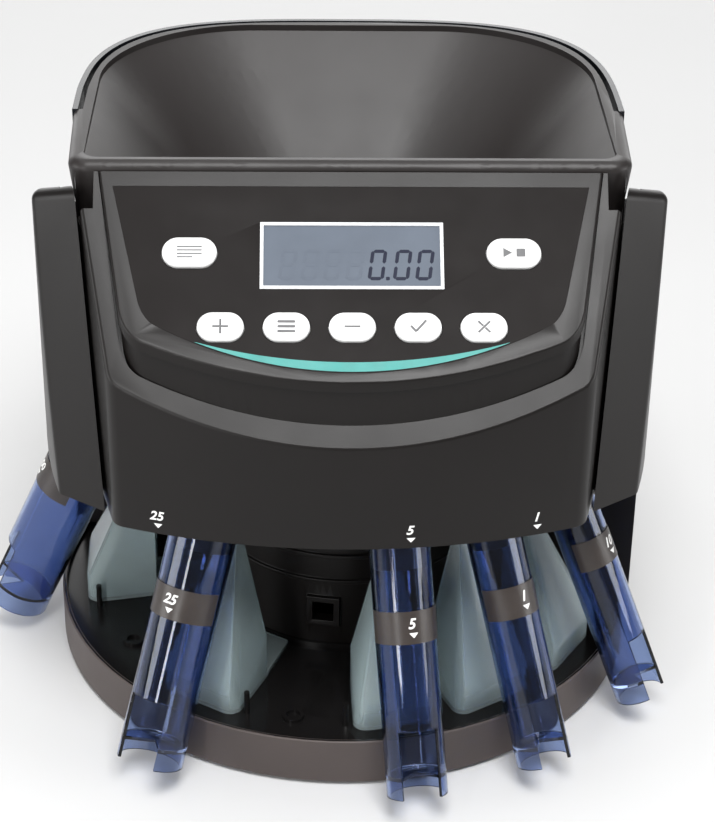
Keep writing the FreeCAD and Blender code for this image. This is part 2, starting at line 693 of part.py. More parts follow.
# ---- body ----------------------------------------------------------------------------------
def rear_housing():
    drum = rod(BODY_R, RIM_Z, SHOULDER_Z)
    top_edge = [e for e in drum.Edges if abs(e.BoundBox.ZMin - SHOULDER_Z) < 1e-6]
    drum = drum.makeFillet(SHOULDER_FILLET, top_edge)
    hollow = rod(BODY_R - WALL, RIM_Z - 1, SHOULDER_Z - SHOULDER_FILLET - 1)
    hollow = hollow.fuse(rod(BODY_R - WALL - 3, RIM_Z, SHOULDER_Z - WALL))
    shell = drum.cut(hollow)
    shell = shell.cut(head_block(-WING_GAP, HEAD_Z - 1, FAR, SIDE_Y + 60))
    shell = shell.cut(front_bite())
    shell = shell.cut(sector(FAR, BAY_LEFT, BAY_RIGHT, 0, HEAD_Z))
    ahead = block(WING_INNER_X, FAR, -FAR, 0, HEAD_Z - 1, FAR).cut(behind_wing_front(0))
    shell = shell.cut(ahead).cut(ahead.mirror(ORIGIN, X_AXIS))
    corners = [(-TOP_OPEN_X, TOP_OPEN_FRONT_Y), (TOP_OPEN_X, TOP_OPEN_FRONT_Y),
               (TOP_OPEN_X, TOP_OPEN_REAR_Y), (-TOP_OPEN_X, TOP_OPEN_REAR_Y)]
    opening = rounded_wire(corners, [5, 5, 40, 40], SHOULDER_Z - 13)
    shell = shell.cut(prism(opening, 100))
    wing = wing_shell().cut(head_block(-WING_GAP, HEAD_Z - 1, FAR, SIDE_Y + 5))
    shell = shell.fuse(wing).fuse(wing.mirror(ORIGIN, X_AXIS))
    shell = shell.cut(block(-HOPPER_BAY_X, HOPPER_BAY_X, SIDE_Y + 0.2, FAR, SHOULDER_Z, FAR))
    for azimuth, side in ((BAY_LEFT, -1), (BAY_RIGHT, 1)):
        wall = block(-WALL / 2, WALL / 2, -BODY_R + 1, -COLUMN_R - 1.8, RIM_Z, HEAD_Z)
        wall.translate(V(side * WALL / 2, 0, 0))
        shell = shell.fuse(at_azimuth(wall, azimuth))
    shell = shell.fuse(socket_frame()).cut(socket_window())
    for column in range(VENT_COLUMNS):
        for side in (-1, 1):
            slot = block(-1.5, 1.5, -BODY_R - 3, -BODY_R + 8, VENT_LOW_Z, VENT_TOP_Z)
            shell = shell.cut(at_azimuth(slot, 180 + side * (12 + 4 * column)))
    for side in (-1, 1):
        for offset in (-7, 7):
            x = side * HINGE_X + offset
            lug = block(x - 3, x + 3, HINGE_Y - 3, HINGE_Y + 3, SHOULDER_Z - 3, HINGE_Z)
            lug = lug.fuse(rod_x(HINGE_R, x - 3, x + 3, HINGE_Y, HINGE_Z))
            lug = lug.cut(rod_x(HINGE_PIN_R, x - 9, x + 9, HINGE_Y, HINGE_Z))
            shell = shell.fuse(lug)
    return shell


def wing_solid(inset, z_low):
    """Solid of the right-hand wing, moved inwards by a wall thickness."""
    side = rod(WING_ARC_R - inset, z_low, FAR, BODY_R - WING_ARC_R)
    side = side.common(block(WING_INNER_X, FAR, -FAR, 0, z_low, FAR))
    rear = rod(BODY_R - inset, z_low, FAR)
    rear = rear.common(block(WING_INNER_X, FAR, 0, WING_REAR_Y, z_low, FAR))
    top = below_slope(WING_TOP_Y, WING_TOP_Z - drop(inset, WING_FALL), -WING_FALL)
    return side.fuse(rear).common(top).common(behind_wing_front(inset))


def behind_wing_front(inset):
    """Half-space behind the leaning front face of the right-hand wing."""
    half_space = Part.makeBox(2 * FAR, FAR, 2 * FAR, V(-FAR, inset, -FAR))
    half_space.rotate(ORIGIN, X_AXIS, -WING_BACK)
    half_space.rotate(ORIGIN, Z_AXIS, WING_TURN)
    half_space.translate(V(WING_CORNER[0], WING_CORNER[1], HEAD_Z))
    return half_space


def wing_shell():
    outer = wing_solid(0, HEAD_Z)
    outer = outer.makeFillet(WING_FILLET, [e for e in outer.Edges if is_wing_ridge(e)])
    shell = outer.cut(wing_solid(WALL, HEAD_Z + HEAD_FLOOR_T))
    shell = shell.cut(rod(BODY_R - WALL, 0, HEAD_Z + HEAD_FLOOR_T))
    inner_wall = block(HOPPER_BAY_X, HOPPER_BAY_X + WALL, SIDE_Y - WALL, FAR, SHOULDER_Z - 1, FAR)
    front_wall = block(0, HOPPER_BAY_X + WALL, SIDE_Y + 0.2 - WALL, SIDE_Y + 0.2, SHOULDER_Z, FAR)
    return shell.fuse(outer.common(inner_wall.fuse(front_wall)))


def is_wing_ridge(edge):
    """Edges between a wing's outer side, its top and its front face."""
    middle = edge.CenterOfMass
    upright = is_upright(edge)
    return middle.x > 108 and middle.y < WING_REAR_Y - 2 and middle.z > HEAD_Z + 2 and not upright


def front_bite():
    """Region ahead of the body where the front of the head stands instead."""
    reach = CORNER_X + 8.3
    return block(-reach, reach, -FAR, -86, HEAD_Z - 1, 300)


def socket_frame():
    half_w = SOCKET_W / 2 + 2
    half_h = SOCKET_H / 2 + 2
    frame = block(-half_w, half_w, SOCKET_Y, BODY_R + 5, SOCKET_Z - half_h, SOCKET_Z + half_h)
    return frame.common(rod(BODY_R, 0, 200))


def socket_window():
    half_w = SOCKET_W / 2
    half_h = SOCKET_H / 2
    return block(-half_w, half_w, SOCKET_Y - 5, BODY_R + 5, SOCKET_Z - half_h, SOCKET_Z + half_h)


def socket_panel():
    half_w = SOCKET_W / 2
    half_h = SOCKET_H / 2
    panel = block(-half_w, half_w, SOCKET_Y, SOCKET_Y + 2.5, SOCKET_Z - half_h, SOCKET_Z + half_h)
    panel = panel.cut(block(INLET_X - 12, INLET_X + 12, 100, 200, SOCKET_Z - 9, SOCKET_Z + 9))
    panel = panel.cut(block(SWITCH_X - 7, SWITCH_X + 7, 100, 200, SOCKET_Z - 11, SOCKET_Z + 11))
    return panel.cut(block(PORT_X - 6, PORT_X + 6, 100, 200, SOCKET_Z - 6, SOCKET_Z + 6))


def power_inlet():
    y_face = SOCKET_Y + 4
    body = block(INLET_X - 12, INLET_X + 12, SOCKET_Y - 14, y_face, SOCKET_Z - 9, SOCKET_Z + 9)
    mouth = block(INLET_X - 9.5, INLET_X + 9.5, SOCKET_Y - 10, y_face + 1, SOCKET_Z - 6, SOCKET_Z + 6)
    body = body.cut(mouth)
    for dx in (-5, 0, 5):
        blade = block(INLET_X + dx - 0.8, INLET_X + dx + 0.8, SOCKET_Y - 11, SOCKET_Y - 4,
                      SOCKET_Z - 2, SOCKET_Z + 2)
        body = body.fuse(blade)
    flange = block(INLET_X - 14, INLET_X + 14, SOCKET_Y + 2.5, y_face, SOCKET_Z - 11, SOCKET_Z + 11)
    return body.fuse(flange.cut(mouth).cut(block(INLET_X - 12, INLET_X + 12, 0, 200,
                                                 SOCKET_Z - 9, SOCKET_Z + 9)))


def switch_body():
    y_face = SOCKET_Y + 4
    body = block(SWITCH_X - 7, SWITCH_X + 7, SOCKET_Y - 14, y_face, SOCKET_Z - 11, SOCKET_Z + 11)
    return body.cut(block(SWITCH_X - 5.6, SWITCH_X + 5.6, SOCKET_Y - 9, y_face + 1,
                          SOCKET_Z - 9.6, SOCKET_Z + 9.6))


ROCKER_PIVOT_Y = SOCKET_Y + 1.0


def power_switch():
    """Rocker, shown pressed at its lower end."""
    rocker = block(SWITCH_X - 5.2, SWITCH_X + 5.2, ROCKER_PIVOT_Y - 3, ROCKER_PIVOT_Y + 4.2,
                   SOCKET_Z - 8.6, SOCKET_Z + 8.6)
    dish = rod_x(30, SWITCH_X - 6, SWITCH_X + 6, ROCKER_PIVOT_Y + 32.9, SOCKET_Z)
    rocker = rocker.cut(dish)
    rocker = rocker.common(rod_x(9.2, SWITCH_X - 6, SWITCH_X + 6, ROCKER_PIVOT_Y, SOCKET_Z))
    rocker.rotate(V(SWITCH_X, ROCKER_PIVOT_Y, SOCKET_Z), X_AXIS, -ROCKER_TILT)
    return rocker


def data_port():
    y_face = SOCKET_Y + 3.2
    body = block(PORT_X - 6, PORT_X + 6, SOCKET_Y - 12, y_face, SOCKET_Z - 6, SOCKET_Z + 6)
    return body.cut(block(PORT_X - 4.5, PORT_X + 4.5, SOCKET_Y - 8, y_face + 1,
                          SOCKET_Z - 4, SOCKET_Z + 4))


def power_supply():
    board = block(-40, 40, 78, 122, 30, 31.6)
    transformer = block(-34, -2, 82, 112, 31.6, 62)
    capacitor = rod(7, 31.6, 54, 14, 92)
    heat_sink = block(26, 30, 82, 116, 31.6, 56)
    return board.fuse(transformer).fuse(capacitor).fuse(heat_sink)


# ---- sorting mechanism ---------------------------------------------------------------------
def tube_axis_point(along):
    """Point on a tube's axis in the front plane, measured up the axis from its lower end."""
    tilt = math.radians(TUBE_TILT)
    radius = TUBE_END_R - along * math.sin(tilt)
    return V(0, -radius, TUBE_END_Z + along * math.cos(tilt))


def tube_direction():
    tilt = math.radians(TUBE_TILT)
    return V(0, math.sin(tilt), math.cos(tilt))


def axis_rod(radius, start, end):
    """Cylinder on a tube's axis between two distances from the tube's lower end."""
    return Part.makeCylinder(radius, end - start, tube_axis_point(start), tube_direction())


def tube_inner(coin):
    return (coin + TUBE_ROOM) / 2


def tube_length(coin):
    """Length that brings the outer side of the tube's square end just under the head."""
    tilt = math.radians(TUBE_TILT)
    rise = TUBE_TOP_Z - TUBE_END_Z - (tube_inner(coin) + TUBE_WALL) * math.sin(tilt)
    return rise / math.cos(tilt)


def head_floor():
    plan = head_block(WALL, HEAD_Z, HEAD_Z + HEAD_FLOOR_T, SIDE_Y + 60)
    disc = rod(BODY_R - WALL, HEAD_Z, HEAD_Z + HEAD_FLOOR_T).cut(front_bite())
    floor = plan.fuse(disc.cut(head_side_walls()))
    for azimuth, coin in COINS.values():
        floor = floor.cut(at_azimuth(axis_rod(tube_inner(coin) - RUN, 60, 200), azimuth))
    boss = rod(BEARING_R + 2.5, HEAD_Z, HEAD_Z + 4 + BEARING_T)
    floor = floor.fuse(boss).cut(rod(BEARING_R, HEAD_Z + 4, HEAD_Z + 20)).cut(rod(4, 0, 200))
    floor = floor.cut(rod(8.0, 0, 200, 0, gear_distance()))
    for azimuth in RAIL_POST_AZIMUTHS:
        post = rod(4, HEAD_Z + 1, RAIL_Z, 0, -RAIL_POST_R)
        floor = floor.fuse(at_azimuth(post, azimuth))
    return floor


RAIL_POST_AZIMUTHS = (-60.0, -12.0, 85.0, 150.0, -150.0)
RAIL_POST_R = 108.0


def head_side_walls():
    """Side walls of the head's front, which stand inside the body."""
    outer = head_block(0, HEAD_Z - 2, HEAD_Z + 10, SIDE_Y)
    return outer.cut(head_block(WALL, HEAD_Z - 4, HEAD_Z + 12, SIDE_Y + 5))


def gear_distance():
    return GEAR_MODULE * (GEAR_TEETH + PINION_TEETH) / 2


def chute(coin):
    """Spout from a coin slot in the rail down into the top of a tube."""
    outer = tube_inner(coin) - RUN
    top = along_at_height(RAIL_Z) + 12
    low = tube_length(coin) - SPOUT_IN
    spout = axis_rod(outer, low, top)
    spout = spout.fuse(axis_rod(outer + 2.0, along_at_height(HEAD_Z + HEAD_FLOOR_T) + 8.5, top))
    spout = spout.cut(axis_rod(outer - 1.4, low - 5, top + 5))
    return spout.cut(block(-FAR, FAR, -FAR, FAR, RAIL_Z, FAR))


def along_at_height(z):
    return (z - TUBE_END_Z) / math.cos(math.radians(TUBE_TILT))


def sorting_rail():
    rail = rod(RAIL_R, RAIL_Z, RAIL_Z + RAIL_T)
    rail = rail.fuse(ring(RAIL_R, RAIL_R - 2, RAIL_Z, RAIL_Z + RAIL_T + FENCE_H))
    for azimuth, coin in COINS.values():
        rail = rail.cut(at_azimuth(axis_rod(tube_inner(coin) - RUN - 1.4, 100, 168), azimuth))
    boss = rod(BEARING_R + 2.5, RAIL_Z - BEARING_T, RAIL_Z + 0.5)
    rail = rail.fuse(boss).cut(rod(BEARING_R, RAIL_Z - BEARING_T - 1, RAIL_Z))
    return rail.cut(rod(4, RAIL_Z - 10, RAIL_Z + 20))


def sorting_disc():
    z0 = RAIL_Z + RAIL_T + 1.5
    disc = rod(DISC_R, z0, z0 + DISC_T)
    dome = Part.makeCone(40, 6, 9, V(0, 0, z0 + DISC_T))
    disc = disc.fuse(dome)
    for i in range(FINS):
        fin = block(-1.5, 1.5, -FIN_R, -42, z0, z0 + DISC_T + 2)
        disc = disc.fuse(at_azimuth(fin, i * 360 / FINS))
    return disc.cut(rod(SHAFT_R, z0 - 1, z0 + 6))


def drive_shaft():
    return rod(SHAFT_R, HEAD_Z + 5, RAIL_Z + RAIL_T + 7.5)


def shaft_bearings():
    bearings = []
    for z in (HEAD_Z + 4, RAIL_Z - BEARING_T):
        race = rod(BEARING_R, z, z + BEARING_T).cut(rod(SHAFT_R + JOURNAL_GAP, z - 1, z + 10))
        bearings.append(race)
    return group(bearings)


def gear(teeth, thickness, bore):
    """Spur gear with slightly thin straight-flanked teeth, first tooth along +X."""
    pitch_r = GEAR_MODULE * teeth / 2
    tip_r = pitch_r + 0.9 * GEAR_MODULE
    root_r = pitch_r - 1.15 * GEAR_MODULE
    half_root = GEAR_ROOT_SHARE * math.pi / teeth
    half_tip = GEAR_TIP_SHARE * math.pi / teeth
    points = []
    for i in range(teeth):
        middle = 2 * math.pi * i / teeth
        for radius, turn in ((root_r, -half_root), (tip_r, -half_tip),
                             (tip_r, half_tip), (root_r, half_root)):
            angle = middle + turn
            points.append(V(radius * math.cos(angle), radius * math.sin(angle), 0))
    points.append(points[0])
    blank = Part.Face(Part.makePolygon(points)).extrude(V(0, 0, thickness))
    return blank.cut(rod(bore, -1, thickness + 1))


def drive_gear():
    wheel = gear(GEAR_TEETH, GEAR_T, SHAFT_R)
    web = ring(24, 8, GEAR_T - 1.5, GEAR_T + 1).fuse(ring(24, 8, -1, 1.5))
    wheel = wheel.cut(web)
    wheel.rotate(ORIGIN, Z_AXIS, 90.0)
    wheel.translate(V(0, 0, GEAR_Z))
    return wheel


def pinion():
    wheel = gear(PINION_TEETH, GEAR_T + 3, PINION_SHAFT_R)
    wheel.rotate(ORIGIN, Z_AXIS, -90.0 + 180.0 / PINION_TEETH)
    wheel.translate(V(0, gear_distance(), GEAR_Z - 1.5))
    spindle = rod(PINION_SHAFT_R, HEAD_Z + 6, GEAR_Z + GEAR_T + 3, 0, gear_distance())
    return wheel.fuse(spindle)


def motor():
    y = gear_distance()
    can = rod(MOTOR_R, HEAD_Z - MOTOR_L, HEAD_Z, 0, y)
    low = [e for e in can.Edges if abs(e.CenterOfMass.z - HEAD_Z + MOTOR_L) < 1e-6]
    can = can.makeFillet(2.5, low)
    nose = rod(7.0, HEAD_Z, HEAD_Z + 5.5, 0, y)
    return can.fuse(nose).cut(rod(PINION_SHAFT_R + 0.4, HEAD_Z - 2, HEAD_Z + 9, 0, y))


def motor_bracket():
    y = gear_distance()
    z0 = HEAD_Z + HEAD_FLOOR_T
    plate = block(-22, 22, y - 14, y + 22, z0, z0 + 2)
    plate = plate.cut(rod(7.0, z0 - 1, z0 + 3, 0, y))
    for x in (-19, 19):
        for dy in (-10, 18):
            plate = plate.cut(rod(SCREW_R, z0 - 1, z0 + 3, x, y + dy))
    return plate


def coin_sensors():
    sensors = []
    for azimuth, coin in COINS.values():
        reach = tube_inner(coin) - RUN + 2.0
        z0 = HEAD_Z + HEAD_FLOOR_T
        radius = -tube_axis_point(along_at_height(z0 + 14)).y - reach - 9
        board = block(-7, 7, -radius - 2, -radius, z0, z0 + 22)
        sensors.append(at_azimuth(board, azimuth))
    return group(sensors)


# ---- tubes and bins ------------------------------------------------------------------------
def coin_tube(coin):
    inner = tube_inner(coin)
    outer = inner + TUBE_WALL
    length = tube_length(coin)
    shell = axis_rod(outer, 0, length).cut(axis_rod(inner, -1, length + 1))
    floor = axis_rod(inner + 0.1, TUBE_FLOOR_UP, TUBE_FLOOR_UP + 1.6)
    shell = shell.fuse(floor)
    wedge = Part.makeCylinder(60, WINDOW_L + 1, V(0, 0, -1), Z_AXIS, WINDOW_DEG)
    wedge.rotate(ORIGIN, Z_AXIS, -90.0 - WINDOW_DEG / 2)
    wedge.rotate(ORIGIN, X_AXIS, -TUBE_TILT)
    wedge.translate(tube_axis_point(0))
    return shell.cut(wedge)


def bin_block(inset, z0, knee_drop):
    """Solid wedge of a bin, pointing to the front: all walls lean in towards the top."""
    half = BIN_HALF - inset
    front = BIN_FRONT_R - inset
    narrow = half - (BIN_FRONT_R - BIN_WALL_R) * 0.16
    corners = [(-half, -front), (half, -front), (narrow, -BIN_WALL_R + inset),
               (-narrow, -BIN_WALL_R + inset)]
    body = prism(rounded_wire(corners, [6 - inset, 6 - inset, 0.5, 0.5], z0), 120)
    lean = Part.makeBox(2 * FAR, FAR, 2 * FAR, V(-FAR, -FAR, -FAR))
    lean.rotate(ORIGIN, X_AXIS, -TUBE_TILT)
    lean.translate(V(0, -front, FLOOR_Z + BIN_KNEE - knee_drop))
    body = body.cut(lean)
    for side in (-1, 1):
        flank = Part.makeBox(FAR, 2 * FAR, 2 * FAR, V(0, -FAR, -FAR))
        if side < 0:
            flank.translate(V(-FAR, 0, 0))
        flank.rotate(ORIGIN, Y_AXIS, -side * BIN_LEAN)
        flank.translate(V(side * half, 0, FLOOR_Z + 2))
        body = body.cut(flank)
    return body


def coin_bin():
    outer = bin_block(0, FLOOR_Z, 0).cut(block(-FAR, FAR, -FAR, FAR, BIN_TOP_Z, FAR))
    inner = bin_block(BIN_WALL, FLOOR_Z + BIN_WALL, 0.35 * BIN_WALL)
    back = block(-FAR, FAR, -BIN_WALL_R - 2, 0, FLOOR_Z + BIN_WALL, FAR)
    shell = outer.cut(inner).cut(back)
    tail = [(-17, -BIN_WALL_R - 8), (17, -BIN_WALL_R - 8), (10, -BIN_INNER_R), (-10, -BIN_INNER_R)]
    plate = prism(rounded_wire(tail, [0.5, 0.5, 2, 2], FLOOR_Z), BIN_WALL)
    return shell.fuse(plate)


def case_screws():
    """Screws that hold the motor bracket and the rail plate."""
    screws = []
    y = gear_distance()
    z0 = HEAD_Z + HEAD_FLOOR_T + 2
    for x in (-19, 19):
        for dy in (-10, 18):
            head = rod(2.6, z0, z0 + 1.6, x, y + dy)
            screws.append(head.fuse(rod(SCREW_R, z0 - 2, z0, x, y + dy)))
    for azimuth in RAIL_POST_AZIMUTHS:
        z1 = RAIL_Z + RAIL_T
        screws.append(at_azimuth(rod(3.0, z1, z1 + 0.9, 0, -RAIL_POST_R), azimuth))
    return group(screws)


def build():
    os.makedirs("parts", exist_ok=True)
    save("base_tray", base_tray())
    save("base_plate", base_plate())
    save("rubber_feet", rubber_feet())
    save("base_screws", base_screws())
    save("core_column", core_column())
    save("rear_housing", rear_housing())
    save("front_housing", front_housing())
    save("head_floor", head_floor())
    save("panel_console", panel_console())
    save("panel_overlay", panel_overlay())
    save("lcd_frame", lcd_frame())
    save("lcd_window", lcd_window())
    save("lcd_module", lcd_module())
    save("key_board", key_board())
    save("main_board", main_board())
    for name, (width, height, x, t) in KEYS.items():
        save("button_" + name, on_panel(key_button(width, height), x, t))
    save("hopper_bowl", hopper_bowl())
    save("rim_guard", rim_guard())
    save("hinge_pins", hinge_pins())
    save("sorting_rail", sorting_rail())
    save("sorting_disc", sorting_disc())
    save("drive_shaft", drive_shaft())
    save("shaft_bearings", shaft_bearings())
    save("drive_gear", drive_gear())
    save("pinion", pinion())
    save("motor", motor())
    save("motor_bracket", motor_bracket())
    save("coin_sensors", coin_sensors())
    save("power_supply", power_supply())
    save("socket_panel", socket_panel())
    save("power_inlet", power_inlet())
    save("switch_body", switch_body())
    save("power_switch", power_switch())
    save("data_port", data_port())
    save("case_screws", case_screws())
    for name, (azimuth, coin) in COINS.items():
        save("chute_" + name, at_azimuth(chute(coin), azimuth))
        save("tube_" + name, at_azimuth(coin_tube(coin), azimuth))
        save("bin_" + name, at_azimuth(coin_bin(), azimuth))


build()
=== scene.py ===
"""Looks of the coin sorting machine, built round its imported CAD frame. Metres, +Z up, -Y front."""
import json
import math

import bmesh
import bpy
from mathutils import Matrix, Vector


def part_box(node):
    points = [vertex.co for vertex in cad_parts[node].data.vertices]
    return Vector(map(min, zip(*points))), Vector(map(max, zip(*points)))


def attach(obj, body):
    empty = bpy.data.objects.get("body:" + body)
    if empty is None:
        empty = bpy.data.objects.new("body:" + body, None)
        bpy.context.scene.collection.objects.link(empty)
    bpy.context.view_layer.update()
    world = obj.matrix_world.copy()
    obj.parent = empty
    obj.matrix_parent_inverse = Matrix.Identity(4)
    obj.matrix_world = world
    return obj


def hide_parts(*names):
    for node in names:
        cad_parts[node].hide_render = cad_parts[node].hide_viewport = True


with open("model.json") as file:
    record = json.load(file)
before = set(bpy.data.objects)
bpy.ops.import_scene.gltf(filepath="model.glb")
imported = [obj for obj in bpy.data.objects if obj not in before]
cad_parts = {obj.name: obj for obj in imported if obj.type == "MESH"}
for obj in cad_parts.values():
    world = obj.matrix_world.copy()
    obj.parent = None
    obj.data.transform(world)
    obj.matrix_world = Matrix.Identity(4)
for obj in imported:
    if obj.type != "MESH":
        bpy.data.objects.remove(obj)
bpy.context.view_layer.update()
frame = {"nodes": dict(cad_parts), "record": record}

MM = 0.001
PANEL_ANGLE = math.radians(39.5)
FILM_T = 0.8 * MM
TUBE_TILT = math.radians(25.0)
TUBE_END_R = 165.0 * MM
TUBE_END_Z = 12.5 * MM
TUBE_WALL = 1.5 * MM
TUBE_ROOM = 3.2 * MM
LIFT = 0.12 * MM                  # height of print above the surface it is on
HEAD_Z = 122 * MM
FILM_CORNER_NEAR = 86 * MM         # the film's lower corners lie between these distances
FILM_CORNER_FAR = 91 * MM          # from the middle of the panel
FILM_CORNER_DEPTH = 24 * MM        # and this close to the film's front edge
FILM_CORNER_ROUND = 8 * MM
TRAY_INNER_R = 138.6 * MM
TRAY_FLOOR_Z = 21.5 * MM
MERGE_GAP = 1e-6                   # vertices nearer than this are one
FACET_ANGLE = math.radians(0.3)    # facets that turn less than this are one face
FLOOR_REACH = 6.0                  # half the studio floor's width
FLOOR_ALBEDO = 0.50
WORLD_STRENGTH = 0.25

# name: (azimuth from the front in degrees, coin diameter, numeral on its label)
COINS = {
    "dollar": (-87.5, 26.5 * MM, "100"),
    "25": (-33.0, 24.26 * MM, "25"),
    "5": (10.6, 21.21 * MM, "5"),
    "1": (32.6, 19.05 * MM, "1"),
    "10": (57.6, 17.91 * MM, "10"),
}


# ---- materials -----------------------------------------------------------------------------
class Paint:
    """A Principled material with helpers that add procedural colour, roughness and bump."""

    def __init__(self, name, color, roughness, **sockets):
        self.material = bpy.data.materials.new(name)
        self.material.use_nodes = True
        self.nodes = self.material.node_tree.nodes
        self.links = self.material.node_tree.links
        self.shader = self.nodes["Principled BSDF"]
        self.color = color
        self.shader.inputs["Base Color"].default_value = (*color, 1.0)
        self.shader.inputs["Roughness"].default_value = roughness
        for socket, value in sockets.items():
            self.shader.inputs[socket.replace("_", " ")].default_value = value
        self.coords = self.nodes.new("ShaderNodeTexCoord").outputs["Object"]
        self.height = None

    def noise(self, scale, detail=4.0, roughness=0.55):
        node = self.nodes.new("ShaderNodeTexNoise")
        node.inputs["Scale"].default_value = scale
        node.inputs["Detail"].default_value = detail
        node.inputs["Roughness"].default_value = roughness
        self.links.new(self.coords, node.inputs["Vector"])
        return node.outputs["Fac"]

    def mottle(self, scale, amount):
        """Let the colour drift between slightly darker and lighter tones."""
        ramp = self.nodes.new("ShaderNodeValToRGB")
        dark = [c * (1 - amount) for c in self.color]
        light = [min(1.0, c * (1 + amount)) for c in self.color]
        ramp.color_ramp.elements[0].position = 0.3
        ramp.color_ramp.elements[0].color = (*dark, 1.0)
        ramp.color_ramp.elements[1].position = 0.7
        ramp.color_ramp.elements[1].color = (*light, 1.0)
        self.links.new(self.noise(scale), ramp.inputs["Fac"])
        self.links.new(ramp.outputs["Color"], self.shader.inputs["Base Color"])
        return self

    def gloss_drift(self, scale, low, high):
        spread = self.nodes.new("ShaderNodeMapRange")
        spread.inputs["From Min"].default_value = 0.3
        spread.inputs["From Max"].default_value = 0.7
        spread.inputs["To Min"].default_value = low
        spread.inputs["To Max"].default_value = high
        self.links.new(self.noise(scale), spread.inputs["Value"])
        self.links.new(spread.outputs["Result"], self.shader.inputs["Roughness"])
        return self

    def grain(self, scale, strength, distance=0.00005):
        """Fine moulded texture, as spark erosion leaves on a plastic shell."""
        bump = self.nodes.new("ShaderNodeBump")
        bump.inputs["Strength"].default_value = strength
        bump.inputs["Distance"].default_value = distance
        self.links.new(self.noise(scale, 2.0), bump.inputs["Height"])
        if self.height is not None:
            self.links.new(self.height, bump.inputs["Normal"])
        self.height = bump.outputs["Normal"]
        self.links.new(self.height, self.shader.inputs["Normal"])
        return self


def housing_plastic():
    paint = Paint("housing_plastic", (0.0050, 0.0040, 0.0037), 0.37, Specular_IOR_Level=0.25)
    return paint.mottle(18, 0.10).gloss_drift(30, 0.35, 0.41).grain(1400, 0.2).material


def hopper_plastic():
    paint = Paint("hopper_plastic", (0.014, 0.0118, 0.0114), 0.42, Specular_IOR_Level=0.30)
    return paint.mottle(12, 0.08).gloss_drift(25, 0.39, 0.45).grain(1200, 0.2).material


def base_plastic():
    paint = Paint("base_plastic", (0.062, 0.050, 0.047), 0.45, Specular_IOR_Level=0.3)
    return paint.mottle(16, 0.1).gloss_drift(30, 0.40, 0.50).grain(1300, 0.25).material


def floor_plastic():
    paint = Paint("floor_plastic", (0.006, 0.0055, 0.0055), 0.2, Specular_IOR_Level=0.35)
    return paint.mottle(20, 0.1).gloss_drift(40, 0.16, 0.26).grain(900, 0.08).material


def film_plastic():
    paint = Paint("film_plastic", (0.0080, 0.0066, 0.0063), 0.42, Specular_IOR_Level=0.05)
    return paint.mottle(40, 0.08).gloss_drift(60, 0.39, 0.45).grain(2500, 0.1).material


def guard_plastic():
    paint = Paint("guard_plastic", (0.008, 0.009, 0.011), 0.18, Specular_IOR_Level=0.4)
    return paint.mottle(30, 0.1).gloss_drift(50, 0.14, 0.22).grain(700, 0.05).material


def key_plastic():
    paint = Paint("key_plastic", (0.58, 0.58, 0.575), 0.45, Specular_IOR_Level=0.2)
    return paint.mottle(60, 0.02).gloss_drift(80, 0.41, 0.49).grain(2600, 0.06).material


def tube_plastic():
    paint = Paint("tube_plastic", (0.27, 0.36, 0.62), 0.03, Transmission_Weight=1.0, IOR=1.42)
    return paint.mottle(25, 0.03).gloss_drift(60, 0.025, 0.05).material


def bin_plastic():
    paint = Paint("bin_plastic", (0.55, 0.66, 0.67), 0.22, Transmission_Weight=0.7, IOR=1.4)
    return paint.mottle(25, 0.03).gloss_drift(50, 0.18, 0.26).material


def display_pane():
    paint = Paint("display_pane", (0.085, 0.100, 0.125), 0.4, Specular_IOR_Level=0.04)
    return paint.mottle(45, 0.06).gloss_drift(70, 0.27, 0.33).grain(1800, 0.04).material


def display_digits():
    paint = Paint("display_digits", (0.013, 0.015, 0.028), 0.4, Specular_IOR_Level=0.04)
    return paint.mottle(200, 0.1).gloss_drift(90, 0.3, 0.4).material


def display_ghost():
    paint = Paint("display_ghost", (0.080, 0.094, 0.118), 0.4, Specular_IOR_Level=0.04)
    return paint.mottle(200, 0.05).gloss_drift(90, 0.28, 0.34).material


def white_print():
    paint = Paint("white_print", (0.74, 0.74, 0.73), 0.5)
    return paint.mottle(300, 0.04).gloss_drift(200, 0.45, 0.55).material


def display_frame():
    paint = Paint("display_frame", (0.52, 0.53, 0.54), 0.4, Specular_IOR_Level=0.25)
    return paint.mottle(200, 0.03).gloss_drift(150, 0.36, 0.44).material


def grey_print():
    paint = Paint("grey_print", (0.055, 0.055, 0.058), 0.5)
    return paint.mottle(300, 0.08).gloss_drift(200, 0.45, 0.55).material


def teal_print():
    paint = Paint("teal_print", (0.035, 0.215, 0.195), 0.4, Specular_IOR_Level=0.2)
    return paint.mottle(120, 0.08).gloss_drift(100, 0.35, 0.45).material


def label_print():
    paint = Paint("label_print", (0.035, 0.028, 0.025), 0.35, Alpha=0.86)
    return paint.mottle(150, 0.1).gloss_drift(90, 0.3, 0.4).material


def steel():
    paint = Paint("zinc_steel", (0.55, 0.55, 0.56), 0.35, Metallic=1.0)
    return paint.mottle(80, 0.08).gloss_drift(150, 0.28, 0.42).grain(900, 0.1).material


def rubber():
    paint = Paint("rubber", (0.02, 0.02, 0.02), 0.8)
    return paint.mottle(60, 0.15).grain(1500, 0.3).material


def circuit_board():
    paint = Paint("circuit_board", (0.02, 0.12, 0.05), 0.4)
    return paint.mottle(220, 0.3).gloss_drift(200, 0.3, 0.5).material


def inner_plastic():
    paint = Paint("inner_plastic", (0.02, 0.019, 0.019), 0.4)
    return paint.mottle(30, 0.12).gloss_drift(40, 0.34, 0.46).grain(1200, 0.2).material


def brass():
    paint = Paint("brass", (0.6, 0.42, 0.16), 0.3, Metallic=1.0)
    return paint.mottle(120, 0.1).gloss_drift(150, 0.22, 0.36).material


